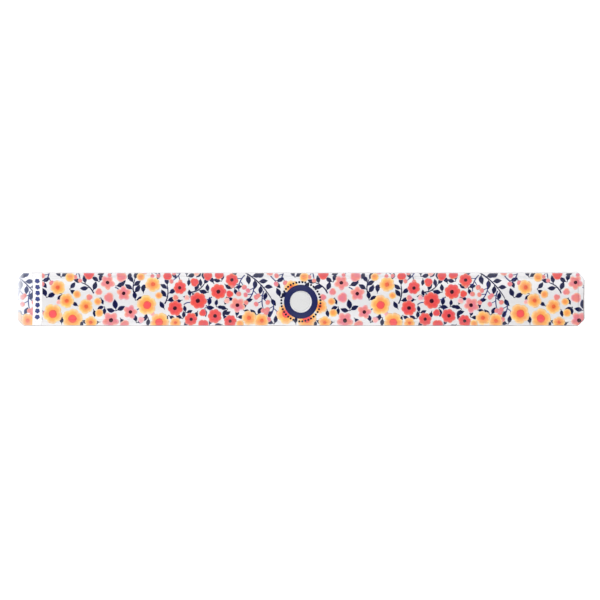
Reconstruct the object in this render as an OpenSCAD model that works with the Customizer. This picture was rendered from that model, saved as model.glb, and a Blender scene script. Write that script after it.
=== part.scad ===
// Slap bracelet, straightened out: a bistable steel tape sealed between a printed
// face film and a plain back film, with a round repellent patch in a navy ring.
// The band lies face up along X. Its cross-section is a shallow gutter, open upwards,
// so the back film touches the ground along the band's middle line.
// All sizes are in millimetres.

/* [Band] */
// Length of the band, end to end
band_l = 262; // [200:1:340]
// Width of the band, seen from above
band_w = 25; // [24:0.5:32]
// Radius of the back film across the band, which sets how deep the gutter is
gutter_r = 37; // [28:1:80]
// Length cut off each corner along the edges
corner_cut = 3.2; // [2:0.1:5]
// Rounding where a corner cut meets an edge
corner_round = 2; // [0.5:0.1:3]

/* [Films] */
// Thickness of the plain back film
back_t = 0.4; // [0.3:0.05:0.8]
// Thickness of the printed face film
face_t = 0.4; // [0.3:0.05:0.8]
// Width of the flat margin outside the weld seam, along both sides and at the right end
margin_w = 1.5; // [1:0.1:2.5]
// Width of the weld seam, a groove pressed all round the body
seam_w = 1; // [0.6:0.1:1.5]
// Thickness left of the face film under the seam
seam_t = 0.2; // [0.15:0.05:0.3]
// Length of the wide weld that closes the left end after the tape is in, seam included
seal_l = 7; // [4:0.5:12]

/* [Tape] */
// Thickness of the steel tape
tape_t = 0.2; // [0.15:0.05:0.4]
// Free room between the tape and the wall of its pocket
tape_room = 0.3; // [0.2:0.1:1]

/* [Badge] */
// Outer diameter of the navy ring
ring_d = 15.4; // [14:0.1:17]
// Inner diameter of the navy ring
ring_hole_d = 10.2; // [10.2:0.1:12]
// Height of the ring above the face film
ring_t = 0.25; // [0.15:0.05:0.6]
// Distance from the band's middle line down to the ring's centre
ring_drop = 1.25; // [0:0.05:2]
// Diameter of the repellent patch
patch_d = 9.3; // [6:0.1:9.3]
// Thickness of the repellent patch
patch_t = 0.45; // [0.3:0.05:1]
// How far the patch sits off the ring's centre, to the left and up alike
patch_shift = 0.25; // [0:0.05:0.25]

/* [Hidden] */
// Gap between pieces that lie on each other
ply_gap = 0.04;
// Width of the face film's wall round the pocket
pocket_wall = 0.5;
// Rounding of the body's corners, and of the pocket's and the tape's
body_round = 1.5;
pocket_round = 1.2;
// Room above and below the films for the shapes that cut them
spare = 2;
// How much shorter a 45 degree corner cut gets for each millimetre that its edges move in
cut_inset = 2 - sqrt(2);
// The shortest cut that still has room for a corner's rounding, for each millimetre of radius
least_cut = 0.6;
$fn = 96;

// Length of a corner cut on an outline that lies further in
function inner_cut(cut, inset, r) = max(cut - cut_inset * inset, least_cut * r);

// Depths of the layers, measured up from the underside of the back film
face_from = back_t + ply_gap;
seam_to = face_from + seam_t;
margin_to = face_from + face_t;
tape_from = back_t + ply_gap;
tape_to = tape_from + tape_t;
pocket_to = tape_to + ply_gap;
face_to = pocket_to + face_t;
badge_from = face_to + ply_gap;

// The raised body of the face film, inside the seam, and the seam's outer edge
body_inset = margin_w + seam_w;
body_l = band_l - seal_l - body_inset;
body_w = band_w - 2 * body_inset;
body_x = (seal_l - body_inset) / 2;
body_cut = inner_cut(corner_cut, body_inset, body_round);
seam_l = body_l + 2 * seam_w;
seam_across = body_w + 2 * seam_w;
seam_cut = inner_cut(corner_cut, margin_w, corner_round);
pocket_l = body_l - 2 * pocket_wall;
pocket_w = body_w - 2 * pocket_wall;
pocket_cut = inner_cut(body_cut, pocket_wall, pocket_round);
tape_l = pocket_l - 2 * tape_room;
tape_w = pocket_w - 2 * tape_room;

// Centres of the two arcs that round one cut corner, for the corner at +X +Y
function arc_centres(l, w, cut, r) = [
    [l / 2 - r, w / 2 - cut - r * (sqrt(2) - 1)],
    [l / 2 - cut - r * (sqrt(2) - 1), w / 2 - r],
];

// Points where those arcs meet the edges and the cut, for the corner at +X +Y
function tangent_points(l, w, cut, r) =
    let (c = arc_centres(l, w, cut, r), d = r / sqrt(2)) [
        c[0] + [r, 0],
        c[0] + [d, d],
        c[1] + [d, d],
        c[1] + [0, r],
    ];

// The same points taken round all four corners in order
function mirrored(p, sx, sy) = [for (q = p) [sx * q[0], sy * q[1]]];
function backwards(p) = [for (i = [len(p) - 1 : -1 : 0]) p[i]];
function outline_points(l, w, cut, r) =
    let (p = tangent_points(l, w, cut, r)) concat(
        p,
        backwards(mirrored(p, -1, 1)),
        mirrored(p, -1, -1),
        backwards(mirrored(p, 1, -1))
    );

// A strip with cut and rounded corners, seen from above
module cut_strip(l, w, cut, r) {
    polygon(outline_points(l, w, cut, r));
    for (sx = [-1, 1], sy = [-1, 1], c = arc_centres(l, w, cut, r))
        translate([sx * c[0], sy * c[1]]) circle(r);
}

// The space above and below a strip's outline
module strip_column(l, w, cut, r) {
    translate([0, 0, -spare])
        linear_extrude(gutter_r / 2 + spare) cut_strip(l, w, cut, r);
}

// A bar along X that follows the gutter, up to a depth above the underside
module gutter_bar(depth) {
    translate([0, 0, gutter_r])
        rotate([0, 90, 0]) cylinder(h = band_l + 2 * spare, r = gutter_r - depth, center = true);
}

// A curved layer between two depths
module gutter_layer(from, to) {
    difference() {
        gutter_bar(from);
        gutter_bar(to);
    }
}

// A round column that stands on the band at the badge
module badge_column(d, x = 0, y = 0) {
    translate([x, y - ring_drop, -spare]) cylinder(h = gutter_r / 2 + spare, d = d);
}

module back_film() {
    color("#f1f0f2") intersection() {
        gutter_layer(0, back_t);
        strip_column(band_l, band_w, corner_cut, corner_round);
    }
}

module spring_tape() {
    color("#b9bdc2") intersection() {
        gutter_layer(tape_from, tape_to);
        translate([body_x, 0, 0]) strip_column(tape_l, tape_w, pocket_cut, pocket_round);
    }
}

// The flat margin, the pressed seam inside it, and the raised body with the tape's pocket
module face_film() {
    color("#f0dcd6") difference() {
        union() {
            difference() {
                intersection() {
                    gutter_layer(face_from, margin_to);
                    strip_column(band_l, band_w, corner_cut, corner_round);
                }
                intersection() {
                    gutter_layer(seam_to, face_to);
                    translate([body_x, 0, 0])
                        strip_column(seam_l, seam_across, seam_cut, corner_round);
                }
            }
            intersection() {
                gutter_layer(face_from, face_to);
                translate([body_x, 0, 0]) strip_column(body_l, body_w, body_cut, body_round);
            }
        }
        intersection() {
            gutter_layer(0, pocket_to);
            translate([body_x, 0, 0])
                strip_column(pocket_l, pocket_w, pocket_cut, pocket_round);
        }
    }
}

module badge_ring() {
    color("#2b2c62") intersection() {
        gutter_layer(badge_from, badge_from + ring_t);
        difference() {
            badge_column(ring_d);
            badge_column(ring_hole_d);
        }
    }
}

module repellent_patch() {
    color("#e2e3e4") intersection() {
        gutter_layer(badge_from, badge_from + patch_t);
        badge_column(patch_d, -patch_shift, patch_shift);
    }
}

back_film();
spring_tape();
face_film();
badge_ring();
repellent_patch();
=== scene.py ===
# A mosquito repellent slap band, lying straight and face up on a pale floor:
# printed film over a steel tape, a navy ring and a felt repellent patch.
# All shapes are worked out in millimetres and put into the meshes in metres.
import math

import bmesh
import bpy
import numpy as np
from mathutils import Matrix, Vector


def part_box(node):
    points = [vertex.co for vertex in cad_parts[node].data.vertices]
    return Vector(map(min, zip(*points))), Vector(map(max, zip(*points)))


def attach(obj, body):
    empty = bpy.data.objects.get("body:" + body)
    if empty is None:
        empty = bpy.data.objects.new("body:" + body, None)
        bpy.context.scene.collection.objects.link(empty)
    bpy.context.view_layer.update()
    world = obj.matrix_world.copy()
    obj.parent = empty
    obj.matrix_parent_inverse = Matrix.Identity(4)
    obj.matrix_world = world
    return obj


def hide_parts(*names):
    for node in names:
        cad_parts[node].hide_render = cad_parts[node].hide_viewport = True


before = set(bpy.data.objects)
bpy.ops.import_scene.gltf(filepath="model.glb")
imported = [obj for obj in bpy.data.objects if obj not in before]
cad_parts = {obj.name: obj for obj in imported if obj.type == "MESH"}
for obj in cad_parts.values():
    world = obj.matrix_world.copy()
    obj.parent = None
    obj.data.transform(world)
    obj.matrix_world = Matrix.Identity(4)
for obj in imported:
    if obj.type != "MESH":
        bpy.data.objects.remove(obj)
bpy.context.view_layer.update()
toMm = 1000.0
print("frame loaded with", ", ".join(sorted(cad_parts)))


# Where the camera stands: straight above the band, as in the photograph
photo = {
    "sidePx": 600,
    "acrossMm": 277.6,  # what the frame takes in at the band's height
    "bandMiddlePx": (300.85, 299.03),
    "lensMm": 120.0,
    "sensorMm": 36.0,
}


def makeCamera():
    # as high up as the lens needs to take in that width
    mmPerPx = photo["acrossMm"] / photo["sidePx"]
    x, y = ((px - photo["sidePx"] / 2) * mmPerPx for px in photo["bandMiddlePx"])
    away = photo["acrossMm"] * photo["lensMm"] / photo["sensorMm"]
    data = bpy.data.cameras.new("camera")
    data.lens = photo["lensMm"]
    data.sensor_width = photo["sensorMm"]
    camera = bpy.data.objects.new("camera", data)
    camera.location = (-x / toMm, y / toMm, away / toMm)
    bpy.context.scene.collection.objects.link(camera)
    bpy.context.scene.camera = camera


makeCamera()
print("camera placed")


# Meshes from arrays
def putMesh(name, points, faces, material, smooth=True):
    # points in millimetres, and faces as arrays with 3 or 4 corners a row
    mesh = bpy.data.meshes.new(name)
    corners = np.concatenate([f.ravel() for f in faces]).astype(np.int32)
    sides = np.concatenate([np.full(len(f), f.shape[1]) for f in faces]).astype(np.int32)
    starts = np.concatenate([[0], np.cumsum(sides)[:-1]]).astype(np.int32)
    mesh.vertices.add(len(points))
    mesh.vertices.foreach_set("co", (points / toMm).astype(np.float32).ravel())
    mesh.loops.add(len(corners))
    mesh.loops.foreach_set("vertex_index", corners)
    mesh.polygons.add(len(sides))
    mesh.polygons.foreach_set("loop_start", starts)
    mesh.polygons.foreach_set("use_smooth", np.full(len(sides), smooth))
    mesh.update(calc_edges=True)
    mesh.materials.append(material)
    piece = bpy.data.objects.new(name, mesh)
    bpy.context.scene.collection.objects.link(piece)
    return piece


def putShares(mesh, name, values):
    # a share from 0 to 1 at each point, which a material reads by this name
    shares = mesh.attributes.new(name, "FLOAT", "POINT")
    shares.data.foreach_set("value", values.astype(np.float32))


def gridFaces(rows, columns, closed=False, first=0):
    # quads of a grid of points; closed joins the last column to the first
    i = np.arange(rows - 1)[:, None]
    j = np.arange(columns if closed else columns - 1)[None, :]
    here = i * columns + j
    beside = i * columns + (j + 1) % columns
    return first + np.stack([here, here + columns, beside + columns, beside], -1).reshape(-1, 4)


def fanFaces(count, pole, first):
    # triangles from a pole to a ring of points
    j = np.arange(count)
    return np.stack([np.full(count, pole), first + j, first + (j + 1) % count], -1)


def smoothRise(value, start, stop):
    # 0 before start, 1 after stop, and 3t^2 - 2t^3 between them
    t = np.clip((value - start) / (stop - start), 0.0, 1.0)
    return t * t * (3.0 - 2.0 * t)


# The band's sizes, as the solids have them
lowFace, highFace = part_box("face_film")
halfLength, halfWidth = (highFace.x - lowFace.x) / 2 * toMm, (highFace.y - lowFace.y) / 2 * toMm
band = {
    "gutterRadius": 37.0,  # across the band, at the underside
    "cornerCut": 3.2,
    "cornerRound": 2.0,
    "margin": 1.5,
    "seam": 1.0,
    "seal": 7.0,  # the wide weld at the left end, seam included
    "backTop": 0.40,  # depths above the underside, from here to bodyTop
    "faceUnder": 0.44,
    "pocketRoof": 0.68,
    "seamTop": 0.66,
    "marginTop": 0.84,
    "bodyTop": 1.08,
    "seamOuter": (-0.84, -0.38),  # how far inside the body the margin falls to the seam,
    "seamInner": (-0.14, 0.70),  # and where the seam rises to the body
    "pocketWall": (0.5, 0.9),
    "wander": 0.05,  # how far the seam strays from its line
    "edgeRound": 0.20,
    "paintedRimShade": (0.252, 0.42),  # how far in the lower edge and right end are all grey, and grey at all: painted shade on the edges that face away from the light
    "marginFade": (-0.2, 0.4),  # where the welded margin's look gives way to the body's
    "cornerSoftness": 4.2,  # per mm: how sharply the seam's corners turn
    "ringDrop": 1.25,
    "ripple": 0.022,  # how far the film waves over the tape
    "rippleFade": (0.2, 2.5),  # and where inside the body the waves begin
}
ripples = (
    # length along the band over 2 pi, slant across it, where it starts, share
    (6.1, 0.21, 0.0, 1.0),
    (3.7, -0.30, 1.9, 0.7),
    (14.3, 0.12, 4.0, 0.6),
)
strays = ((2.3, 0.0, 0.4, 1.0), (5.1, 0.2, 0.0, 1.0))  # the seam's, in the same order
cutInset = 2.0 - math.sqrt(2.0)  # a 45 degree cut that moves in by 1 gets this much shorter
bodyInset = band["margin"] + band["seam"]
body = {
    "halfLength": halfLength - (band["seal"] + bodyInset) / 2,
    "halfWidth": halfWidth - bodyInset,
    "middleX": (band["seal"] - bodyInset) / 2,
    "cut": band["cornerCut"] - cutInset * bodyInset,
}


def bentHeight(y, depth):
    # a layer at one depth above the underside is an arc across the band, struck from a line the
    # gutter's radius up: z = R - sqrt((R - depth)^2 - y^2)
    radius = band["gutterRadius"] - depth
    return band["gutterRadius"] - np.sqrt(radius * radius - y * y)


def halfWidthAt(x):
    # the outline's half width: straight, an arc, the 45 degree cut, and an arc down to the end
    r = band["cornerRound"]
    tuck = r * (math.sqrt(2.0) - 1.0)
    endX, endY = halfLength - r, halfWidth - band["cornerCut"] - tuck
    sideX, sideY = halfLength - band["cornerCut"] - tuck, halfWidth - r
    x = np.abs(x)
    onSideArc = sideY + np.sqrt(np.maximum(r * r - (x - sideX) ** 2, 0.0))
    onCut = halfLength + halfWidth - band["cornerCut"] - x
    onEndArc = endY + np.sqrt(np.maximum(r * r - (x - endX) ** 2, 0.0))
    bow = r / math.sqrt(2.0)
    return np.select(
        [x <= sideX, x <= sideX + bow, x <= endX + bow],
        [np.full_like(x, halfWidth), onSideArc, onCut],
        onEndArc,
    )


def insideBody(x, y):
    # how far a point lies inside the raised body: the least of its distances to the long edge,
    # the end and the cut corner, blended by -log(sum(exp(-k d))) / k so that the corners turn round
    x, y = np.abs(x - body["middleX"]), np.abs(y)
    toEnd = body["halfLength"] - x
    toSide = body["halfWidth"] - y
    toCut = (body["halfLength"] + body["halfWidth"] - body["cut"] - x - y) / math.sqrt(2.0)
    k = band["cornerSoftness"]
    return -np.log(np.exp(-k * toEnd) + np.exp(-k * toSide) + np.exp(-k * toCut)) / k


def slowWaves(x, y, waves):
    # the sum of share * sin(x / length + slant y + start)
    return sum(share * np.sin(x / length + slant * y + start) for length, slant, start, share in waves)


def rippleAt(x, y, inside):
    # slow waves along the band, each slanted a little, which fade out at the seam
    return band["ripple"] * slowWaves(x, y, ripples) * smoothRise(inside, *band["rippleFade"])


def filmTop(x, y):
    # the printed film's top: flat margin, pressed seam that wanders a little, and raised body
    inside = insideBody(x, y) + band["wander"] * slowWaves(x, y, strays)
    fall = (band["marginTop"] - band["seamTop"]) * smoothRise(inside, *band["seamOuter"])
    rise = (band["bodyTop"] - band["seamTop"]) * smoothRise(inside, *band["seamInner"])
    return bentHeight(y, band["marginTop"] - fall + rise + rippleAt(x, y, inside))


def edgeDrop(distance):
    # a quarter round along a cut edge: r - sqrt(r^2 - (r - d)^2)
    r = band["edgeRound"]
    return r - np.sqrt(r * r - (r - np.clip(distance, 0.0, r)) ** 2)


# Steps of the films' grids, in millimetres
knots = {"fine": 0.1, "weld": 0.3, "coarse": 1.1, "rib": 0.6, "endReach": 0.7, "endRows": 9}


def bandKnots():
    # places along the band, and across it as shares of the half width, close together at seams
    # and edges; towards an end they close up as 1 - cos(t) does
    w, fine = halfWidth, knots["fine"]
    left, right = (body["middleX"] + side * body["halfLength"] for side in (-1, 1))
    turn = 1.0 - np.cos(np.linspace(0.0, math.pi / 2, knots["endRows"]))
    nearEnd = halfLength - knots["endReach"] * turn
    along = np.concatenate([
        -nearEnd,
        np.arange(-halfLength + 0.85, left - 1.6, knots["weld"]),
        np.arange(left - 1.5, left + 1.0, fine),
        np.arange(left + 1.2, right - 1.0, knots["coarse"]),
        np.arange(right - 0.9, halfLength - 0.75, fine),
        nearEnd[::-1],
    ])
    across = np.concatenate([
        np.arange(0.0, 9.0, knots["rib"]),
        np.arange(9.0, 11.5, fine),
        np.arange(11.6, w - 0.5, 2.0 * fine),
        w - np.array([0.42, 0.34, 0.25]),
        w - band["edgeRound"] * np.array([1.0, 0.6, 0.3, 0.1, 0.0]),
    ]) / w
    return np.unique(along), np.concatenate([-across[:0:-1], across])


def paintedRimShade(x, y):
    # painted shade on the edges that face away from the light: 1 at the lower edge and the right end,
    # 0 a little further in
    below = y + halfWidthAt(x)
    right = halfLength - x
    corner = (halfLength + halfWidth - band["cornerCut"] - x + y) / math.sqrt(2.0)
    nearest = np.minimum.reduce([below, right, corner])
    return 1.0 - smoothRise(nearest, *band["paintedRimShade"])


def onMargin(x, y):
    # 1 on the welded margins along both long edges and the right end, 0 on the raised body
    toRight = body["middleX"] + body["halfLength"] - x
    inside = np.minimum(body["halfWidth"] - np.abs(y), toRight)
    return 1.0 - smoothRise(inside, *band["marginFade"])


def bandSlab(name, topOf, underOf, material):
    # a closed sheet with the band's outline: a grid for the top and one for the underside, joined
    # by a wall all round
    along, across = bandKnots()
    x = np.repeat(along[:, None], len(across), 1)
    half = halfWidthAt(x)
    y = half * across[None, :]
    distance = np.minimum(half - np.abs(y), halfLength - np.abs(x))
    top = np.stack([x, y, topOf(x, y, distance)], -1).reshape(-1, 3)
    under = np.stack([x, y, underOf(x, y, distance)], -1).reshape(-1, 3)
    count = x.size
    upper = gridFaces(*x.shape)
    lower = gridFaces(*x.shape, first=count)[:, ::-1]
    grid = np.arange(count).reshape(x.shape)
    border = np.concatenate([grid[:, 0], grid[-1, 1:], grid[-2::-1, -1], grid[0, -2:0:-1]])
    after = np.roll(border, -1)
    wall = np.stack([border + count, after + count, after, border], -1)
    slab = putMesh(name, np.concatenate([top, under]), [upper, lower, wall], material)
    putShares(slab.data, "paintedRimShade", np.tile(paintedRimShade(x, y).ravel(), 2))
    return slab


# Print: every motif is a flat patch of points and faces. A point's third number is its tone, from
# 0 in the middle of the motif to 1 at its rim.
def polarPatch(angles, radii, rings):
    # a star-shaped patch: radius(angle) times a share that runs from the middle to the rim
    shares = np.linspace(0.0, 1.0, rings + 1)[1:]
    r = shares[:, None] * radii[None, :]
    tone = np.repeat(shares[:, None], len(angles), 1)
    points = np.stack([r * np.cos(angles), r * np.sin(angles), tone], -1).reshape(-1, 3)
    points = np.concatenate([points, [[0.0, 0.0, 0.0]]])
    count = len(angles)
    between = gridFaces(rings, count, closed=True)
    return points, [between, fanFaces(count, rings * count, 0)]


def ribbonPatch(line, widths, lanes):
    # a strip along a line: each point moves off the line, square to it, by a share of the width
    widths = np.broadcast_to(widths, len(line))
    way = np.gradient(line, axis=0)
    way /= np.linalg.norm(way, axis=1, keepdims=True)
    off = np.stack([-way[:, 1], way[:, 0]], -1)
    shares = np.linspace(-0.5, 0.5, lanes + 1)
    points = line[:, None, :] + shares[None, :, None] * widths[:, None, None] * off[:, None, :]
    tone = np.tile(2.0 * np.abs(shares), len(line))
    return np.column_stack([points.reshape(-1, 2), tone]), [gridFaces(len(line), lanes + 1)]


inkPatches = {}


def draw(ink, patch, x=0.0, y=0.0, turn=0.0):
    # a motif, turned by so many degrees and moved, is kept for the piece of its ink
    points, faces = patch
    c, s = math.cos(math.radians(turn)), math.sin(math.radians(turn))
    moved = points[:, :2] @ np.array([[c, s], [-s, c]]) + (x, y)
    inkPatches.setdefault(ink, []).append((np.column_stack([moved, points[:, 2]]), faces))


def circleAngles(radius, step):
    # as many even turns as give this step along the outline
    count = max(drawing["fewest"], int(2.0 * math.pi * radius / step))
    return np.linspace(0.0, 2.0 * math.pi, count, endpoint=False)


drawing = {
    "step": 0.30,  # from point to point along an outline
    "stemStep": 0.35,  # and along a stem
    "fewest": 14,  # points round a small outline
    "rings": 0.75,  # inside a flower, for each step of its radius
    "hand": 0.035,  # how unevenly the outlines are drawn, as a share of the radius
    "notchWidth": 0.1,  # as a share of the petal
    "rim": 0.17,  # how far a flower's paler rim stands out past its petals
    "tuck": 0.12,  # and how far it reaches under them
    "heartOff": 0.12,  # how far its heart may lie off its middle
    "bareStem": 0.5,
    "seed": 11,
}
leafForm = {
    "width": 0.47,  # as a share of the leaf's length, as are the stalk and the bow
    "stalk": 0.14,
    "bow": 0.09,
    "swell": 0.88,  # below 1, the blade is widest nearer its foot
    "stalkWidth": 0.32,
    "stalkTo": 0.3,  # the share of the length that is at least as wide as the stalk
    "tipWidth": 0.03,
    "shorter": 0.16,  # what a fan's outer leaves and a twig's last ones lose in length
}
twigForm = {
    "stem": 0.66,  # width at the foot, and what it loses up to the tip
    "taper": 0.22,
    "leaves": (0.20, 0.62),  # the first leaf's place on the stem, and how far on the last one is
    "turn": 50.0,
    "leafWidth": 0.46,
    "tipLeaf": 0.9,  # the tip leaf's length over the others'
}
sprayForm = {
    "stem": 0.52,
    "sideStem": 0.38,
    "sideBend": 0.1,
    "berries": (0.30, 0.55),
    "turn": 58.0,
    "sideLength": 0.8,  # of a side stem over the berry's size, and of the stem's own end
    "endLength": 0.35,
    "hold": 0.33,  # and from the tip to the berry's middle
}
berryForm = {"body": 0.86, "front": 0.16, "dimple": 0.12, "dimpleTurn": 0.5}
dice = np.random.default_rng(drawing["seed"])


def handDrawn(angles):
    # slow waves round the outline, so that no two motifs are quite alike
    a, b = dice.uniform(0.0, 2.0 * math.pi, 2)
    return 1.0 + drawing["hand"] * (np.sin(angles + a) + 0.7 * np.sin(2.0 * angles + b))


petalShapes = {
    # how many petals, how deep the gaps between them go, how round the petals are, and how deep
    # their tips are notched
    "notched": (5, 0.21, 0.60, 0.05),
    "scalloped": (7, 0.17, 0.70, 0.0),
    "pointed": (5, 0.30, 1.25, 0.0),
    "folded": (3, 0.20, 0.60, 0.0),
    "plain": (4, 0.05, 1.0, 0.0),
}


def petalRadii(shape, size):
    # radius = R (1 - gap + gap cos(pi f)^round - notch exp(-(f / width)^2)), where f runs from
    # -1/2 to 1/2 over each petal
    petals, gap, roundness, notch = petalShapes[shape]
    angles = circleAngles(size / 2.0, drawing["step"])
    f = (angles * petals / (2.0 * math.pi)) % 1.0 - 0.5
    lobes = 1.0 - gap + gap * np.cos(math.pi * f) ** roundness
    lobes = lobes - notch * np.exp(-((f / drawing["notchWidth"]) ** 2))
    return angles, size / 2.0 * lobes * handDrawn(angles)


def petalPatch(angles, radii):
    # a flower's face
    return polarPatch(angles, radii, max(2, int(radii.max() / drawing["step"] * drawing["rings"])))


def rimPatch(angles, radii):
    # a narrow ring along the petals' outline
    r = np.stack([radii - drawing["tuck"], radii + drawing["rim"]])
    points = np.stack([r * np.cos(angles), r * np.sin(angles), np.ones_like(r)], -1).reshape(-1, 3)
    return points, [gridFaces(2, len(angles), closed=True)]


def leafPatch(length, width):
    # a stalk, then width = W sin(pi t^swell) up to the tip, on a line that bows to one side
    s = np.linspace(0.0, 1.0, max(12, int(length / drawing["step"])))
    bow = dice.uniform(-leafForm["bow"], leafForm["bow"]) * length
    line = np.stack([s * length, bow * np.sin(math.pi * s)], -1)
    t = np.clip((s - leafForm["stalk"]) / (1.0 - leafForm["stalk"]), 0.0, 1.0)
    blade = width * np.sin(math.pi * t ** leafForm["swell"])
    least = np.where(s < leafForm["stalkTo"], leafForm["stalkWidth"], leafForm["tipWidth"])
    return ribbonPatch(line, np.maximum(blade, least), 4)


def dropPatch(size):
    # radius = R (body + front cos a)(1 - dimple exp(-(a / turn)^2)), fuller in front
    a = circleAngles(size / 2.0, drawing["step"])
    near = np.minimum(a, 2.0 * math.pi - a)
    dimple = 1.0 - berryForm["dimple"] * np.exp(-((near / berryForm["dimpleTurn"]) ** 2))
    radii = size / 2.0 * (berryForm["body"] + berryForm["front"] * np.cos(a)) * dimple
    return polarPatch(a, radii * handDrawn(a), 2)


def bentLine(start, end, bend, count=0):
    # a stretch of parabola from start to end, pushed aside at the middle by bend
    start, end = np.array(start, float), np.array(end, float)
    way = end - start
    count = count or max(6, int(np.linalg.norm(way) / drawing["stemStep"]))
    s = np.linspace(0.0, 1.0, count)[:, None]
    aside = np.array([-way[1], way[0]]) / np.linalg.norm(way)
    return start + s * way + 4.0 * s * (1.0 - s) * bend * aside


def waysAlong(line):
    # the direction of a line at each of its points, in radians
    way = np.gradient(line, axis=0)
    return np.arctan2(way[:, 1], way[:, 0])


def placeOn(line, first, span, i, count):
    # which point of a stem carries its i-th leaf or berry
    return int((first + span * i / max(count - 1, 1)) * (len(line) - 1))


def drawFlower(kind, x, y, size, turn):
    # petals, their paler rim, and a heart that sits a little off the middle
    shape, petals, rim, heart, share = flowerKinds[kind]
    angles, radii = petalRadii(shape, size)
    draw(petals, petalPatch(angles, radii), x, y, turn)
    if rim:
        draw(rim, rimPatch(angles, radii), x, y, turn)
    if heart:
        off = dice.uniform(-drawing["heartOff"], drawing["heartOff"], 2)
        middle = petalPatch(*petalRadii("plain", size * share))
        draw(heart, middle, x + off[0], y + off[1], turn)


def drawFan(x, y, turn, leaves, spread, length):
    # leaves that open from one point like a crown
    for i in range(leaves):
        share = 0.0 if leaves == 1 else 2.0 * i / (leaves - 1) - 1.0
        size = length * (1.0 - leafForm["shorter"] * share * share)
        leaf = leafPatch(size, size * leafForm["width"])
        draw("navy", leaf, x, y, turn + share * spread / 2.0)


def drawTwig(start, end, bend, leaves, length):
    # a bent stem with leaves that leave it left and right in turn, and one at its tip
    line = bentLine(start, end, bend)
    s = np.linspace(0.0, 1.0, len(line))
    draw("navy", ribbonPatch(line, twigForm["stem"] - twigForm["taper"] * s, 2))
    turns = np.degrees(waysAlong(line))
    for i in range(leaves):
        at = placeOn(line, *twigForm["leaves"], i, leaves)
        side = 1 if i % 2 else -1
        size = length * (1.0 - leafForm["shorter"] * i / leaves)
        leaf = leafPatch(size, size * twigForm["leafWidth"])
        draw("navy", leaf, *line[at], turns[at] + side * twigForm["turn"])
    size = length * twigForm["tipLeaf"]
    draw("navy", leafPatch(size, size * twigForm["leafWidth"]), *line[-1], turns[-1])


def drawSpray(start, end, bend, berries, size):
    # a thin bent stem with short side stems, each of which carries a drop-shaped berry
    line = bentLine(start, end, bend)
    draw("navy", ribbonPatch(line, sprayForm["stem"], 1))
    turns = waysAlong(line)
    for i in range(berries):
        last = i == berries - 1
        at = len(line) - 1 if last else placeOn(line, *sprayForm["berries"], i, berries)
        turn = turns[at] + (0.0 if last else (1 if i % 2 else -1) * math.radians(sprayForm["turn"]))
        way = np.array([math.cos(turn), math.sin(turn)])
        tip = line[at] + size * sprayForm["endLength" if last else "sideLength"] * way
        side = bentLine(line[at], tip, sprayForm["sideBend"], 4)
        draw("navy", ribbonPatch(side, sprayForm["sideStem"], 1))
        middle = tip + size * sprayForm["hold"] * way
        draw("salmon", dropPatch(size), *middle, math.degrees(turn))


def drawStem(start, end, bend):
    # a bent stem with nothing on it
    draw("navy", ribbonPatch(bentLine(start, end, bend), drawing["bareStem"], 1))


flowerKinds = {
    # outline, ink of the petals, of their rim and of the heart, and the heart's share of the flower
    "amberBloom": ("notched", "amber", "buff", "coral", 0.42),
    "amberDaisy": ("notched", "amber", "buff", "orange", 0.31),
    "amberBud": ("plain", "amber", "buff", None, 0.0),
    "redBloom": ("scalloped", "red", "salmon", "dark", 0.27),
    "redBud": ("folded", "red", "salmon", None, 0.0),
    "salmonBloom": ("pointed", "salmon", "pink", "dark", 0.26),
    "salmonBud": ("folded", "salmon", "pink", None, 0.0),
    "pinkBud": ("folded", "pink", None, None, 0.0),
}

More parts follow.
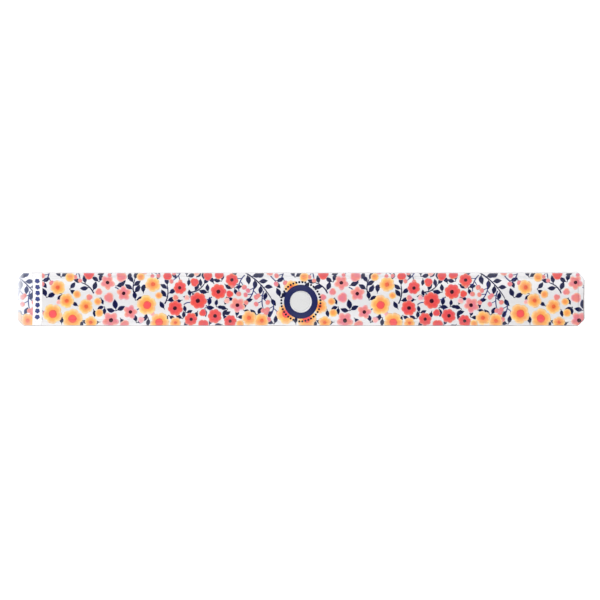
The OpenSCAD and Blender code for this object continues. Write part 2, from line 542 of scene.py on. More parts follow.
# The print's repeat, in millimetres: along the band from the label strip, and up from the
# band's middle line
repeat = {"length": 108.0, "start": -119.3, "times": (-1, 0, 1, 2)}
flowerChart = (
    # kind, then along, up, across the flower and turn of each
    ("amberBloom", (4.6, -6.8, 9.0, 12), (14.0, -9.0, 9.2, 44)),
    ("amberDaisy", (11.2, -0.8, 6.6, 30), (7.0, 5.4, 6.6, 75), (20.0, -3.4, 6.6, 8)),
    ("amberDaisy", (22.4, -10.8, 5.6, 50)),
    ("amberBud", (12.8, 10.0, 4.0, 0), (15.9, 2.2, 3.4, 20), (25.4, -1.2, 3.2, 45)),
    ("amberBud", (26.2, -6.4, 3.4, 10)),
    ("redBud", (21.6, 11.4, 4.8, 90)),
    ("salmonBloom", (30.0, 7.6, 6.6, 20), (37.4, 2.6, 6.6, 55), (31.6, -9.8, 7.6, 18)),
    ("salmonBloom", (40.6, -6.0, 6.4, 40)),
    ("salmonBud", (26.0, 3.4, 3.2, 30), (30.6, 0.6, 4.6, 5), (36.4, 10.4, 4.8, 60)),
    ("salmonBud", (38.0, -12.0, 4.4, 0)),
    ("amberBloom", (48.2, -2.8, 9.0, 60), (54.0, -10.6, 8.6, 25)),
    ("amberDaisy", (51.0, 6.8, 6.8, 10)),
    ("amberBud", (45.4, 10.2, 3.4, 15)),
    ("pinkBud", (45.6, -9.6, 3.0, 80)),
    ("redBloom", (61.2, -4.2, 6.8, 10), (68.6, -9.4, 5.8, 35), (63.4, 5.2, 5.8, 5)),
    ("redBloom", (71.8, -0.8, 7.6, 22), (79.6, -7.8, 6.4, 0), (81.2, 3.4, 7.0, 30)),
    ("redBud", (57.8, 10.8, 4.0, 30), (70.2, 7.8, 3.8, 80), (76.4, 10.6, 4.0, 200)),
    ("redBud", (74.4, -11.8, 4.6, 90)),
    ("pinkBud", (66.6, 0.6, 2.6, 40)),
    ("redBloom", (87.4, 8.8, 5.8, 15)),
    ("amberDaisy", (61.4, -11.0, 5.0, 20)),
    ("salmonBloom", (90.0, -2.8, 7.0, 12)),
    ("redBloom", (86.8, -10.2, 5.6, 33)),
    ("amberDaisy", (95.4, -8.8, 6.6, 70)),
    ("amberBud", (91.2, -11.4, 3.2, 0)),
    ("amberDaisy", (101.2, -10.0, 6.6, 15)),
    ("pinkBud", (7.4, -1.4, 2.4, 30)),
    ("salmonBud", (21.6, 0.8, 3.0, 70)),
    ("amberBud", (53.6, 1.6, 3.0, 35)),
    ("redBud", (74.0, -6.4, 3.2, 20)),
    ("pinkBud", (71.2, 12.0, 3.0, 75)),
    ("redBud", (81.6, 11.4, 4.2, 50)),
    ("pinkBud", (85.2, -0.8, 2.8, 10)),
    ("redBud", (86.4, 2.4, 3.2, 60)),
    ("salmonBud", (47.0, 13.0, 3.4, 25)),
    ("pinkBud", (50.8, -6.9, 2.2, 0)),
    ("salmonBud", (61.4, 0.6, 2.6, 45), (105.0, 12.4, 3.2, 5)),
)
leafChart = (
    # along, up, turn, leaves, spread, length
    (1.8, 0.6, 70, 2, 84, 5.8), (12.4, 4.6, 10, 2, 80, 5.0), (9.0, -11.8, 100, 1, 0, 4.4),
    (16.6, -3.4, 150, 1, 0, 3.8), (18.2, -9.6, -60, 2, 70, 4.2), (34.0, -5.4, 98, 3, 140, 5.4),
    (26.8, -10.6, 195, 1, 0, 4.4), (33.6, 6.0, 20, 1, 0, 4.8), (26.2, 7.8, 110, 2, 70, 5.0),
    (35.8, -8.6, -50, 1, 0, 4.2), (43.4, -11.0, 70, 2, 80, 5.0), (42.8, -0.6, 60, 2, 74, 5.2),
    (56.4, -4.8, 120, 1, 0, 4.4), (58.2, -7.4, -75, 2, 90, 4.6), (64.8, -9.2, 120, 2, 70, 4.4),
    (75.0, -4.0, -42, 2, 84, 5.2), (76.6, 3.0, 130, 2, 70, 4.8), (66.6, 10.4, 60, 2, 84, 5.0),
    (84.0, 7.0, -30, 1, 0, 4.2), (88.6, 5.2, -28, 2, 84, 4.4), (85.6, -4.6, 200, 2, 74, 5.0),
    (83.2, -11.6, 200, 1, 0, 4.4), (89.6, -8.4, 40, 2, 80, 4.4), (99.2, -7.4, 100, 2, 80, 5.0),
    (107.0, -11.6, 120, 2, 80, 5.0), (8.6, 10.0, 80, 2, 84, 4.8), (23.4, -4.6, -80, 1, 0, 3.8),
    (49.0, -8.6, 225, 2, 76, 4.8), (46.6, 2.6, 88, 1, 0, 4.2), (65.0, -12.4, 35, 1, 0, 4.0),
    (82.8, 8.2, 130, 2, 76, 4.8), (97.6, -12.4, 200, 1, 0, 3.6), (93.2, -0.8, 10, 1, 0, 4.0),
    (107.6, 8.4, -18, 2, 76, 4.9), (64.6, -0.4, 190, 1, 0, 4.2), (68.4, 1.0, 140, 2, 76, 4.2),
    (66.0, -6.4, 60, 2, 80, 4.2), (76.6, -3.4, 84, 1, 0, 4.4), (73.6, 12.6, 255, 2, 60, 4.4),
    (77.0, -12.2, 100, 2, 76, 4.2), (79.2, 7.0, 125, 1, 0, 4.2), (84.8, 1.0, -60, 2, 80, 4.4),
    (83.4, -7.0, -20, 2, 80, 4.4), (59.6, 12.4, -50, 1, 0, 3.8), (45.0, 5.4, 10, 1, 0, 3.8),
    (27.0, 0.6, 250, 2, 76, 4.0), (104.0, -9.0, 60, 1, 0, 4.0), (9.0, 2.2, 190, 2, 84, 4.2),
    (28.8, -3.6, 232, 2, 70, 4.4), (90.4, 12.6, 200, 1, 0, 3.8), (102.6, 12.6, 215, 1, 0, 4.4),
    (80.2, -3.6, 40, 2, 84, 4.2), (40.8, 12.8, 250, 1, 0, 4.0), (71.8, -5.4, 250, 1, 0, 4.0),
    (36.2, 6.4, 60, 1, 0, 4.0), (29.2, 12.6, 200, 1, 0, 4.0), (92.6, -5.0, 24, 2, 80, 4.4),
    (54.4, 12.6, 250, 1, 0, 3.8), (67.6, 9.6, 265, 1, 0, 3.6), (48.0, -6.4, -100, 1, 0, 3.6),
)
twigChart = (
    # start along and up, end along and up, bend, leaves, length of a leaf
    (23.6, 2.6, 18.4, 7.4, -0.8, 3, 4.8),
    (42.6, 1.6, 42.6, 8.8, 0.8, 4, 4.8),
    (56.4, -2.2, 57.6, 6.0, -0.8, 4, 4.8),
    (67.0, 3.2, 74.4, 6.6, -1.2, 4, 4.6),
    (91.4, 13.4, 105.4, 0.6, 1.4, 7, 5.0),
)
sprayChart = (
    # start along and up, end along and up, bend, berries, size of a berry
    (93.4, 11.0, 90.6, 4.4, -0.8, 4, 2.8),
    (97.6, 7.6, 95.2, -0.2, 0.9, 4, 2.6),
    (102.2, 3.8, 101.6, -3.4, -0.5, 4, 2.7),
    (3.4, 13.2, 1.2, 8.4, 0.5, 3, 2.7),
    (15.8, 13.4, 17.2, 10.2, 0.3, 2, 2.3),
    (49.6, 13.4, 52.4, 11.8, 0.2, 2, 2.2),
    (64.4, 13.4, 61.0, 9.2, 0.4, 3, 2.4),
    (106.6, -1.2, 105.4, -7.6, 0.6, 4, 2.8),
    (32.6, 13.4, 32.2, 12.2, 0.2, 1, 2.2),
)
stemChart = (
    # start along and up, end along and up, bend
    (33.4, 5.4, 35.4, 4.2, 0.2),
    (43.6, -5.0, 46.0, -4.4, 0.3),
    (65.2, -2.6, 68.4, -1.6, 0.4),
    (75.4, -3.0, 77.4, -5.2, 0.3),
    (78.2, 1.0, 75.4, -0.4, 0.3),
    (104.0, 13.4, 107.8, 8.2, -0.5),
)


def drawRepeat(shift):
    # every motif of the charts once, moved along the band
    for kind, *flowers in flowerChart:
        for u, v, size, turn in flowers:
            drawFlower(kind, u + shift, v, size, turn)
    for u, v, turn, leaves, spread, length in leafChart:
        drawFan(u + shift, v, turn, leaves, spread, length)
    for drawStretch, chart in ((drawTwig, twigChart), (drawSpray, sprayChart), (drawStem, stemChart)):
        for u, v, toU, toV, *form in chart:
            drawStretch((u + shift, v), (toU + shift, toV), *form)


for time in repeat["times"]:
    drawRepeat(repeat["start"] + time * repeat["length"])

# The white label strip with its column of florets, and what lies round and under the badge
badge = {
    "middle": (0.0, -band["ringDrop"]),
    "dots": 40,
    "dotRing": 9.05,  # radius of the circle that the dots lie on
    "dot": 1.0,
    "bedRadius": 5.6,  # white, under the patch
    "bareRadius": 6.2,  # no print within this
}
label = {
    "from": -123.9,
    "to": -119.4,
    "florets": 7,
    "floret": 2.4,
    "pitch": 2.75,
    "turn": 18.0,
    "spare": 0.5,
    "step": 0.8,
}


def discPatch(radius, step, rings):
    # a round patch: the same radius all round
    angles = circleAngles(radius, step)
    return polarPatch(angles, np.full(len(angles), radius), rings)


def bareOfPrint(x, y):
    # the label strip, and the round bed that the ring surrounds
    onStrip = (x > label["from"]) & (x < label["to"])
    onBed = np.hypot(x - badge["middle"][0], y - badge["middle"][1]) < badge["bareRadius"]
    return onStrip | onBed


def stripPatch():
    # the label strip as a grid, laid past both long edges
    x0, x1, half = label["from"], label["to"], halfWidth + label["spare"]
    x = np.linspace(x0, x1, int((x1 - x0) / label["step"]) + 2)
    y = np.linspace(-half, half, int(2.0 * half / label["step"]) + 2)
    points = np.stack(np.meshgrid(x, y, [0.0], indexing="ij"), -1).reshape(-1, 3)
    return points, [gridFaces(len(x), len(y))]


draw("white", stripPatch())
draw("white", discPatch(badge["bedRadius"], 0.5, 5), *badge["middle"])
for i in range(badge["dots"]):
    a = 2.0 * math.pi * (i + 0.5) / badge["dots"]
    x = badge["middle"][0] + badge["dotRing"] * math.cos(a)
    y = badge["middle"][1] + badge["dotRing"] * math.sin(a)
    draw("badgeDots", discPatch(badge["dot"] / 2.0, 0.2, 1), x, y)
for i in range(label["florets"]):
    y = (i - (label["florets"] - 1) / 2.0) * label["pitch"]
    floret = petalPatch(*petalRadii("notched", label["floret"]))
    draw("labelFlorets", floret, (label["from"] + label["to"]) / 2.0, y, label["turn"])
print("print drawn:", sum(len(p) for p in inkPatches.values()), "shapes")

trim = {
    # how far from the cut edge the print ends, as the film was trimmed a little off square
    "upper": 0.6,
    "lower": 0.4,
    "right": 0.4,
    "left": 0.1,
    "corner": 0.25,
    "seamCuts": (-0.9, -0.7, -0.5, -0.34, -0.1, 0.1, 0.3, 0.5, 0.7),
    "skin": 0.05,
}


def trimPlanes():
    # planes that cut the print off at the outline, and planes that only cut its faces along the
    # seam, so that they can follow its steps
    w, h, r = halfWidth, halfLength, 1.0 / math.sqrt(2.0)
    c = ((w + h - band["cornerCut"]) * r - trim["corner"]) * r
    off = [
        ((0, w - trim["upper"]), (0, 1)),
        ((0, trim["lower"] - w), (0, -1)),
        ((h - trim["right"], 0), (1, 0)),
        ((trim["left"] - h, 0), (-1, 0)),
    ]
    off += [((sx * c, sy * c), (sx * r, sy * r)) for sx in (-1, 1) for sy in (-1, 1)]
    along = []
    for inside in trim["seamCuts"]:
        for side in (-1, 1):
            along.append(((0, side * (body["halfWidth"] - inside)), (0, 1)))
            along.append(((body["middleX"] + side * (body["halfLength"] - inside), 0), (1, 0)))
    along += [((label["from"], 0), (1, 0)), ((label["to"], 0), (1, 0))]
    return off, along


def joined(patches):
    # patches as one array of points, and one of faces for each number of corners
    points, faces, first = [], {3: [], 4: []}, 0
    for own, groups in patches:
        points.append(own)
        for group in groups:
            faces[group.shape[1]].append(group + first)
        first += len(own)
    return np.concatenate(points), [np.concatenate(group) for group in faces.values() if group]


def trimPrint(mesh, keepsBare):
    # cut off at the outline, cut along the seam, and taken away where no print lies
    sheet = bmesh.new()
    sheet.from_mesh(mesh)
    off, along = trimPlanes()
    for cuts, clear in ((off, True), (along, False)):
        for place, normal in cuts:
            bmesh.ops.bisect_plane(
                sheet,
                geom=sheet.verts[:] + sheet.edges[:] + sheet.faces[:],
                dist=1e-8,
                plane_co=(place[0] / toMm, place[1] / toMm, 0.0),
                plane_no=(normal[0], normal[1], 0.0),
                clear_outer=clear,
            )
    if keepsBare:
        middles = np.array([f.calc_center_median()[:2] for f in sheet.faces]) * toMm
        gone = [face for face, bare in zip(sheet.faces, bareOfPrint(*middles.T)) if bare]
        bmesh.ops.delete(sheet, geom=gone, context="FACES")
    bmesh.ops.recalc_face_normals(sheet, faces=sheet.faces[:])
    sheet.to_mesh(mesh)
    sheet.free()


def inkPiece(name, patches, lift, material, keepsBare):
    # all of one ink, trimmed flat and then laid on the film's top, as a thin skin
    flat, faces = joined(patches)
    tone = flat[:, 2].copy()
    flat[:, 2] = 0.0
    piece = putMesh(name, flat, faces, material)
    mesh = piece.data
    putShares(mesh, "tone", tone)
    trimPrint(mesh, keepsBare)
    where = np.empty(len(mesh.vertices) * 3, np.float32)
    mesh.vertices.foreach_get("co", where)
    where = where.reshape(-1, 3).astype(float) * toMm
    where[:, 2] = filmTop(where[:, 0], where[:, 1]) + lift
    mesh.vertices.foreach_set("co", (where / toMm).astype(np.float32).ravel())
    mesh.update()
    putShares(mesh, "margin", onMargin(where[:, 0], where[:, 1]))
    skin = piece.modifiers.new("ink", "SOLIDIFY")
    skin.thickness = trim["skin"] / toMm
    skin.offset = -1.0
    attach(piece, "root")


# Materials
def linearColour(hexCode, tint=1.0):
    # sRGB to linear; a tint is a share of the colour, or of its red, green and blue
    c = np.array([int(hexCode[i : i + 2], 16) / 255.0 for i in (1, 3, 5)])
    c = np.where(c <= 0.04045, c / 12.92, ((c + 0.055) / 1.055) ** 2.4)
    return (*np.minimum(c * tint, 1.0).tolist(), 1.0)


def addNode(tree, kind, inputs=None, settings=None):
    # an input takes a value, or the socket that feeds it; settings are the node's own
    node = tree.nodes.new("ShaderNode" + kind)
    for key, value in (settings or {}).items():
        setattr(node, key, value)
    for key, value in (inputs or {}).items():
        if isinstance(value, bpy.types.NodeSocket):
            tree.links.new(value, node.inputs[key])
        else:
            node.inputs[key].default_value = value
    return node


def newMaterial(name):
    # an empty material, its tree, and the coordinates of the piece that wears it
    material = bpy.data.materials.new(name)
    material.use_nodes = True
    tree = material.node_tree
    tree.nodes.clear()
    return material, tree, addNode(tree, "TexCoord").outputs["Object"]


film = {
    "ground": "#e0dfe1",
    # white of the painted highlight over the left end
    "highlightWhite": "#f6f8ff",
    "back": "#e9e8ea",
    "shader": {"Roughness": 0.25, "IOR": 1.5},
    "bareGloss": 0.55,  # specular level of the bare film, and of the ink, which is duller
    "inkGloss": 0.16,
    "cloudMm": 7.0,  # from one deeper cloud of the film's colour to the next, and of the ink's
    "inkCloudMm": 2.6,
    "cloudRange": (0.34, 0.66),  # of the noise, which is stretched to run from 0 to 1
    "tints": (0.975, 1.01),  # shares of a colour that it strays between in the clouds
    "plainTints": (0.95, 1.0),
    "paintTints": ((0.95, 0.88, 1.10), (1.03, 1.08, 0.84)),
    "peelMm": 0.9,  # from crest to crest of the film's fine orange peel
    "relief": (1.0, 0.006),  # its strength, and its height in millimetres
    # from where to where along the band the painted highlight's thin layer sets in, and then the thick
    # one
    "highlightX": ((-123.9, -124.3), (-127.4, -130.6)),
    # the grey of the painted shade along the lower edge and the right end
    "rimShadeColour": "#7d7273",
    "rimShadePatches": (0.0, 0.8, 0.45, 0.95),  # from and to in the clouds, least and most painted shade
    # how much both layers of the painted highlight cover of an ink, of a dark ink and of the bare film
    "inkHighlight": (0.10, 0.66),
    "darkHighlight": (0.17, 0.80),
    "groundHighlight": (0.80, 0.75),
    "darkHighlightTint": "#bccaf8",  # over dark ink the thin layer of the painted highlight is blue, as haze looks
    "marginVeil": ("#b0b0b3", 0.09),  # the ink looks duller on the welded margins
}
inks = {
    # colour, how far it lies above the film in millimetres, and for a painted ink the colour
    # round the flower's heart or along the leaf's midrib, and the one at the rim
    "navy": ("#161b49", 0.02, "#12163e", "#2a3479"),
    "pink": ("#f2b3b1", 0.04, "#efaaa8", "#f7cfcc"),
    "buff": ("#fbd39a", 0.05),
    "salmon": ("#e68687", 0.06, "#e6848a", "#f3b3ae"),
    "amber": ("#f8af61", 0.08, "#f3995a", "#fad9a6"),
    "red": ("#e74f4e", 0.10, "#df5156", "#ea766c"),
    "coral": ("#f4585a", 0.12, "#f4585a", "#ea6a4c"),
    "orange": ("#e8673f", 0.12, "#e8673f", "#f2925a"),
    "dark": ("#380c20", 0.14),
    "white": ("#fdfcfd", 0.03),
    "badgeDots": ("#191a30", 0.14),
    "labelFlorets": ("#414b86", 0.05),
}
washTones = {"heart": (0.40, 0.62), "rim": (0.70, 1.0)}  # between them lies the ink's own colour
asColours = {"data_type": "RGBA"}


def tinted(tree, cloud, colour, tints):
    # the colour between two tints of it, as unevenly spread pigment leaves it
    low, high = (linearColour(colour, tint) for tint in tints)
    return addNode(tree, "Mix", {0: cloud, 6: low, 7: high}, asColours).outputs[2]


def laidOver(tree, under, over, value, start, stop, most=1.0):
    # one colour over another: its share grows from nothing to the most as the value rises
    share = addNode(tree, "MapRange", {0: value, 1: start, 2: stop, 4: most}).outputs[0]
    return addNode(tree, "Mix", {0: share, 6: under, 7: over}, asColours).outputs[2]


def finished(tree, shade, height, relief, shader):
    # the shader with its colour, its own finish, and relief from a height between 0 and 1
    strength, heightMm = relief
    rough = {"Height": height, "Strength": strength, "Distance": heightMm / toMm}
    normal = addNode(tree, "Bump", rough).outputs["Normal"]
    skin = addNode(tree, "BsdfPrincipled", {"Base Color": shade, "Normal": normal, **shader})
    addNode(tree, "OutputMaterial", {"Surface": skin.outputs[0]})


def clouded(tree, place, acrossMm):
    # soft clouds of this size, stretched to run from 0 to 1
    noise = {"Vector": place, "Scale": toMm / acrossMm, "Detail": 2.0}
    cloud = addNode(tree, "TexNoise", noise).outputs["Fac"]
    low, high = film["cloudRange"]
    return addNode(tree, "MapRange", {0: cloud, 1: low, 2: high}).outputs[0]


def paintedHighlight(tree, place, shade, veil, thin="highlightWhite"):
    # painted highlight, laid as milky white over the left end: a thin layer from the weld's inner
    # edge, and a thick one over it that grows towards the band's end
    x = addNode(tree, "SeparateXYZ", {"Vector": place}).outputs["X"]
    for highlightWhite, (start, stop), most in zip((thin, "highlightWhite"), film["highlightX"], veil):
        shade = laidOver(tree, shade, linearColour(film[highlightWhite]), x, start / toMm, stop / toMm, most)
    return shade


def filmSkin(tree, place, shade, gloss):
    # a satin face with a hint of orange peel
    noise = {"Vector": place, "Scale": toMm / film["peelMm"], "Detail": 1.0}
    peel = addNode(tree, "TexNoise", noise).outputs["Fac"]
    finished(tree, shade, peel, film["relief"], {**film["shader"], "Specular IOR Level": gloss})


def filmMaterial(name, colour, tints, front=False):
    # Calendered PVC film with a soft sheen; the front one has a painted highlight at the left end,
    # laid as milky frost where the weld closes the pocket, and painted shade along its lower edge and
    # right end
    material, tree, place = newMaterial(name)
    cloud = clouded(tree, place, film["cloudMm"])
    shade = tinted(tree, cloud, colour, tints)
    if front:
        shade = paintedHighlight(tree, place, shade, film["groundHighlight"])
        # painted shade in patches along the lower edge and the right end
        low, high, least, most = film["rimShadePatches"]
        patchy = addNode(tree, "MapRange", {0: cloud, 1: low, 2: high, 3: least, 4: most})
        rim = addNode(tree, "Attribute", settings={"attribute_name": "paintedRimShade"}).outputs["Fac"]
        shade = laidOver(tree, shade, linearColour(film["rimShadeColour"]), rim, 0.0, 1.0, patchy.outputs[0])
    filmSkin(tree, place, shade, film["bareGloss"])
    return material


def inkMaterial(ink, colour, wash):
    # Screen ink under a clear face: flat and a little dull, with a painted design's stray of tint
    # and its wash from a motif's middle to its rim, greyer on the margins, with a painted highlight at
    # the left end
    material, tree, place = newMaterial(f"{ink}Ink")
    cloud = clouded(tree, place, film["inkCloudMm"])
    tints = film["paintTints" if wash else "plainTints"]
    shade = tinted(tree, cloud, colour, tints)
    if wash:
        heart, rim = (tinted(tree, cloud, own, tints) for own in wash)
        tone = addNode(tree, "Attribute", settings={"attribute_name": "tone"}).outputs["Fac"]
        shade = laidOver(tree, heart, shade, tone, *washTones["heart"])
        shade = laidOver(tree, shade, rim, tone, *washTones["rim"])
    veil, most = film["marginVeil"]
    onWeld = addNode(tree, "Attribute", settings={"attribute_name": "margin"}).outputs["Fac"]
    shade = laidOver(tree, shade, linearColour(veil), onWeld, 0.0, 1.0, most)
    if ink in ("navy", "dark"):
        shade = paintedHighlight(tree, place, shade, film["darkHighlight"], "darkHighlightTint")
    else:
        shade = paintedHighlight(tree, place, shade, film["inkHighlight"])
    filmSkin(tree, place, shade, film["inkGloss"])
    return material


vinyl = {
    "colour": "#22285a",
    "tints": (0.86, 1.0),  # the pigment lies unevenly
    "cloudMm": 2.2,
    "grainMm": 0.35,  # the sheet's embossed grain, from pit to pit
    "relief": (0.6, 0.004),
    "shader": {"Roughness": 0.30, "IOR": 1.5, "Specular IOR Level": 0.16},
}


def vinylMaterial(name):
    # Flexible PVC disc punched from sheet: a deep even navy, smoother than the film round it
    material, tree, place = newMaterial(name)
    clouds = {"Vector": place, "Scale": toMm / vinyl["cloudMm"], "Detail": 3.0}
    cloud = addNode(tree, "TexNoise", clouds).outputs["Fac"]
    pits = {"Vector": place, "Scale": toMm / vinyl["grainMm"], "Detail": 2.0}
    grain = addNode(tree, "TexNoise", pits).outputs["Fac"]
    shade = tinted(tree, cloud, vinyl["colour"], vinyl["tints"])
    finished(tree, shade, grain, vinyl["relief"], vinyl["shader"])
    return material


nap = {
    "colour": "#dfdfdf",
    "tints": (0.84, 1.0),
    "fibreMm": 0.55,  # a fibre is 0.02 mm thick, so tufts of them are drawn, coarse enough to show
    "fibres": {"Distortion": 9.0, "Detail": 3.0, "Detail Scale": 1.6},
    "swayMm": 1.1,  # from one bend of the tufts to the next, and how far they bend
    "swayBy": 1.2,
    "lumpMm": 0.30,
    "lumpShare": 0.55,  # of lumps over tufts
    "relief": (0.8, 0.03),
    "shader": {"Roughness": 0.93, "Sheen Weight": 0.25, "Sheen Roughness": 0.6, "IOR": 1.5},
}


def feltMaterial(name):
    # Needled polyester felt: matt, pale grey, with a soft nap of short fibres lying every way
    material, tree, place = newMaterial(name)
    sway = {"Vector": place, "Scale": toMm / nap["swayMm"], "Detail": 2.0}
    bend = addNode(tree, "TexNoise", sway).outputs["Color"]
    added = {**asColours, "blend_type": "ADD"}
    bent = addNode(tree, "Mix", {0: nap["swayBy"] / toMm, 6: place, 7: bend}, added).outputs[2]
    wave = {"Vector": bent, "Scale": toMm / nap["fibreMm"], **nap["fibres"]}
    fibres = addNode(tree, "TexWave", wave).outputs["Color"]
    lumpy = {"Vector": place, "Scale": toMm / nap["lumpMm"], "Detail": 4.0}
    lumps = addNode(tree, "TexNoise", lumpy).outputs["Color"]
    both = {0: nap["lumpShare"], 6: fibres, 7: lumps}
    tufts = addNode(tree, "Mix", both, asColours).outputs[2]
    shade = tinted(tree, tufts, nap["colour"], nap["tints"])
    finished(tree, shade, tufts, nap["relief"], nap["shader"])
    return material


steel = {
    "deep": "#8e9297",
    "pale": "#bfc3c7",
    "lineMm": 0.12,  # from one rolling line to the next; real ones are finer and wouldn't show
    "lineStretch": 0.02,  # width of a line over its length
    "relief": (0.5, 0.002),
    "shader": {"Roughness": 0.34, "Metallic": 1.0},
}


def steelMaterial(name):
    # Cold-rolled stainless spring strip: a grey metal with fine rolling lines along the tape
    material, tree, place = newMaterial(name)
    stretch = {"Vector": place, "Scale": (steel["lineStretch"], 1.0, 1.0)}
    along = addNode(tree, "Mapping", stretch).outputs[0]
    rolled = {"Vector": along, "Scale": toMm / steel["lineMm"], "Detail": 2.0}
    lines = addNode(tree, "TexNoise", rolled).outputs["Fac"]
    greys = {0: lines, 6: linearColour(steel["deep"]), 7: linearColour(steel["pale"])}
    shade = addNode(tree, "Mix", greys, asColours).outputs[2]
    finished(tree, shade, lines, steel["relief"], steel["shader"])
    return material


faceMaterial = filmMaterial("printedPvcFilm", film["ground"], film["tints"], front=True)
backMaterial = filmMaterial("plainPvcFilm", film["back"], film["plainTints"])
inkMaterials = {ink: inkMaterial(ink, colour, wash) for ink, (colour, lift, *wash) in inks.items()}
ringMaterial = vinylMaterial("navyVinyl")
patchMaterial = feltMaterial("polyesterFelt")
tapeMaterial = steelMaterial("springSteel")
print("materials made:", len(bpy.data.materials))


# The two films, each with its top and its underside
def faceTop(x, y, distance):
    return filmTop(x, y) - edgeDrop(distance)


def faceUnder(x, y, distance):
    # flat on the back film, and raised over the tape's pocket
    pocket = smoothRise(insideBody(x, y), *band["pocketWall"])
    return bentHeight(y, band["faceUnder"] + (band["pocketRoof"] - band["faceUnder"]) * pocket)


def backTop(x, y, distance):
    return bentHeight(y, band["backTop"])


def backUnder(x, y, distance):
    return bentHeight(y, edgeDrop(distance))


faceFilm = bandSlab("faceFilm", faceTop, faceUnder, faceMaterial)
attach(faceFilm, "root")
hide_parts("face_film")
backFilm = bandSlab("backFilm", backTop, backUnder, backMaterial)
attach(backFilm, "root")
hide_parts("back_film")
print("films made")

for ink, patches in inkPatches.items():
    ownName = ink in ("badgeDots", "labelFlorets")
    name = ink if ownName else "print" + ink.capitalize()
    keepsBare = not ownName and ink != "white"
    inkPiece(name, patches, inks[ink][1], inkMaterials[ink], keepsBare)
print("print laid in", len(inkPatches), "inks")


# Badge
ring = {"outer": 7.8, "inner": 5.05, "under": 1.12, "top": 1.37, "round": 0.09, "steps": 128}
felt = {
    "radius": 4.65,
    "shift": 0.25,  # off the ring's middle, to the left and up
    "under": 1.12,
    "top": 1.57,
    "round": 0.16,
    "lump": 0.012,
    "steps": 96,
}


def lumpyHeight(x, y, depth, lumps):
    # two crossed waves, one long and one short, added to the depth before it is bent
    long = np.sin(2.9 * x + 1.3 * y) * np.sin(3.3 * y - 1.1 * x + 0.7)
    short = np.sin(7.1 * x) * np.sin(6.3 * y)
    return bentHeight(y, depth + lumps * (long + 0.6 * short))


def turnedPiece(name, profile, middle, steps, material, lumps=0.0, poles=()):
    # a profile of (radius, depth) pairs turned round a point, and bent with the band; it closes on
    # itself, or at the depths of two poles
    a = np.linspace(0.0, 2.0 * math.pi, steps, endpoint=False)
    x = middle[0] + profile[:, 0:1] * np.cos(a)
    y = middle[1] + profile[:, 0:1] * np.sin(a)
    points = np.stack([x, y, lumpyHeight(x, y, profile[:, 1:2], lumps)], -1).reshape(-1, 3)
    count, last = len(points), len(points) - steps
    faces = [gridFaces(len(profile), steps, closed=True)[:, ::-1]]
    if poles:
        ends = [[*middle, lumpyHeight(*middle, depth, lumps)] for depth in poles]
        points = np.concatenate([points, ends])
        faces += [fanFaces(steps, count, 0)[:, ::-1], fanFaces(steps, count + 1, last)]
    else:
        first = np.arange(steps)
        after = (first + 1) % steps
        faces.append(np.stack([last + after, after, first, last + first], -1))
    return putMesh(name, points, faces, material)


def roundedCorner(radius, depth, turnFrom, r):
    # a quarter circle in the profile's plane: centre + r (cos t, sin t)
    t = turnFrom + np.linspace(0.0, math.pi / 2, 5)
    return np.stack([radius + r * np.cos(t), depth + r * np.sin(t)], -1)


def level(radii, depth):
    # a flat stretch of a profile
    return np.stack([radii, np.full_like(radii, depth)], -1)


r = ring["round"]
span = np.linspace(ring["inner"] + r, ring["outer"] - r, 6)[1:-1]
ringProfile = np.concatenate([
    roundedCorner(ring["outer"] - r, ring["top"] - r, 0.0, r),
    level(span[::-1], ring["top"]),
    roundedCorner(ring["inner"] + r, ring["top"] - r, math.pi / 2, r),
    [[ring["inner"], ring["under"]]],
    level(span, ring["under"]),
    [[ring["outer"], ring["under"]]],
])
badgeRing = turnedPiece("badgeRing", ringProfile, badge["middle"], ring["steps"], ringMaterial)
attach(badgeRing, "root")
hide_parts("badge_ring")

r = felt["round"]
feltProfile = np.concatenate([
    level(np.linspace(0.0, felt["radius"], 6)[1:-1], felt["under"]),
    [[felt["radius"], felt["under"]]],
    roundedCorner(felt["radius"] - r, felt["top"] - r, 0.0, r),
    level(np.linspace(felt["radius"] - r, 0.0, 14)[1:-1], felt["top"]),
])
feltMiddle = (badge["middle"][0] - felt["shift"], badge["middle"][1] + felt["shift"])
poles = (felt["under"], felt["top"])
repellentPatch = turnedPiece(
    "repellentPatch", feltProfile, feltMiddle, felt["steps"], patchMaterial, felt["lump"], poles
)
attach(repellentPatch, "root")
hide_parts("repellent_patch")
print("badge made")

# The steel tape keeps its solid's own shape
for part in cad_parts["spring_tape"].material_slots:
    part.material = tapeMaterial

# Floor and light
studio = {
    "floor": "#f4f4f4",
    "tints": (0.985, 1.0),
    "grainMm": 1.5,
    "roughness": 0.9,
    "glow": 0.30,  # the floor is lit from below as well, so no grey shadow lies round the band
    "farGlow": 0.72,  # and more so far away, where the lamps don't reach
    "glowFrom": (0.3, 1.8),  # metres from the band
    "floorHalf": 15000.0,
    # the sky's two falls of light, added up: from and to which height, and which strength
    "sky": ((0.08, 0.20, 0.64, 0.0), (0.86, 0.97, 0.36, 0.02)),
    "key": {"place": (-0.42, 0.62, 0.82), "size": (1.1, 0.66), "watts": 6.8},
    "fill": {"place": (-0.05, -0.50, 0.85), "size": (1.3, 0.55), "watts": 6.9},
}
white = (1.0, 1.0, 1.0, 1.0)


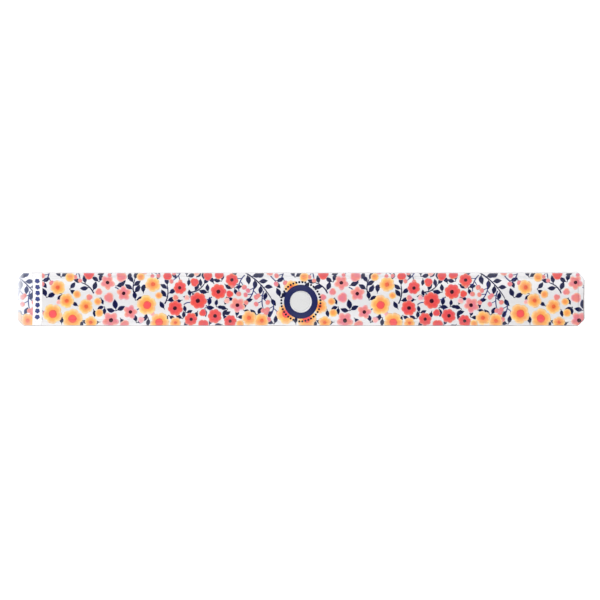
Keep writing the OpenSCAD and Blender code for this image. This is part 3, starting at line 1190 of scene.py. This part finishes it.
def makeFloor():
    # Smooth white paper, large enough that its edge never shows
    material, tree, place = newMaterial("whitePaper")
    tooth = {"Vector": place, "Scale": toMm / studio["grainMm"], "Detail": 3.0}
    cloud = addNode(tree, "TexNoise", tooth).outputs["Fac"]
    away = addNode(tree, "VectorMath", {0: place}, {"operation": "LENGTH"}).outputs["Value"]
    start, stop = studio["glowFrom"]
    far = {0: away, 1: start, 2: stop, 3: studio["glow"], 4: studio["farGlow"]}
    paper = {
        "Base Color": tinted(tree, cloud, studio["floor"], studio["tints"]),
        "Roughness": studio["roughness"],
        "Emission Color": white,
        "Emission Strength": addNode(tree, "MapRange", far).outputs[0],
    }
    skin = addNode(tree, "BsdfPrincipled", paper)
    addNode(tree, "OutputMaterial", {"Surface": skin.outputs[0]})
    corners = np.array([(-1, -1, 0), (1, -1, 0), (1, 1, 0), (-1, 1, 0)]) * studio["floorHalf"]
    floor = putMesh("floor", corners, [np.array([[0, 1, 2, 3]])], material, smooth=False)


def softLight(name, place, size, watts):
    # a wide lamp that faces the band's long axis
    data = bpy.data.lights.new(name, "AREA")
    data.shape = "RECTANGLE"
    data.size, data.size_y = size
    data.energy = watts
    light = bpy.data.objects.new(name, data)
    light.location = place
    light.rotation_euler = Vector((0.0, place[1], place[2])).to_track_quat("Z", "Y").to_euler()
    bpy.context.scene.collection.objects.link(light)


def softSky():
    # bright at the horizon, dimmer above it and nearly dark overhead, where the film would glare
    world = bpy.data.worlds.new("softSky")
    world.use_nodes = True
    tree = world.node_tree
    way = addNode(tree, "TexCoord").outputs["Generated"]
    up = addNode(tree, "SeparateXYZ", {"Vector": way}).outputs["Z"]
    falls = [addNode(tree, "MapRange", dict(enumerate((up, *fall)))) for fall in studio["sky"]]
    shares = {i: fall.outputs[0] for i, fall in enumerate(falls)}
    both = addNode(tree, "Math", shares, {"operation": "ADD"})
    background = tree.nodes["Background"]
    background.inputs["Color"].default_value = white
    tree.links.new(both.outputs[0], background.inputs["Strength"])
    bpy.context.scene.world = world


makeFloor()
for name in ("key", "fill"):
    softLight(name, **studio[name])
softSky()
bpy.context.scene.view_settings.view_transform = "Standard"
print("studio set")
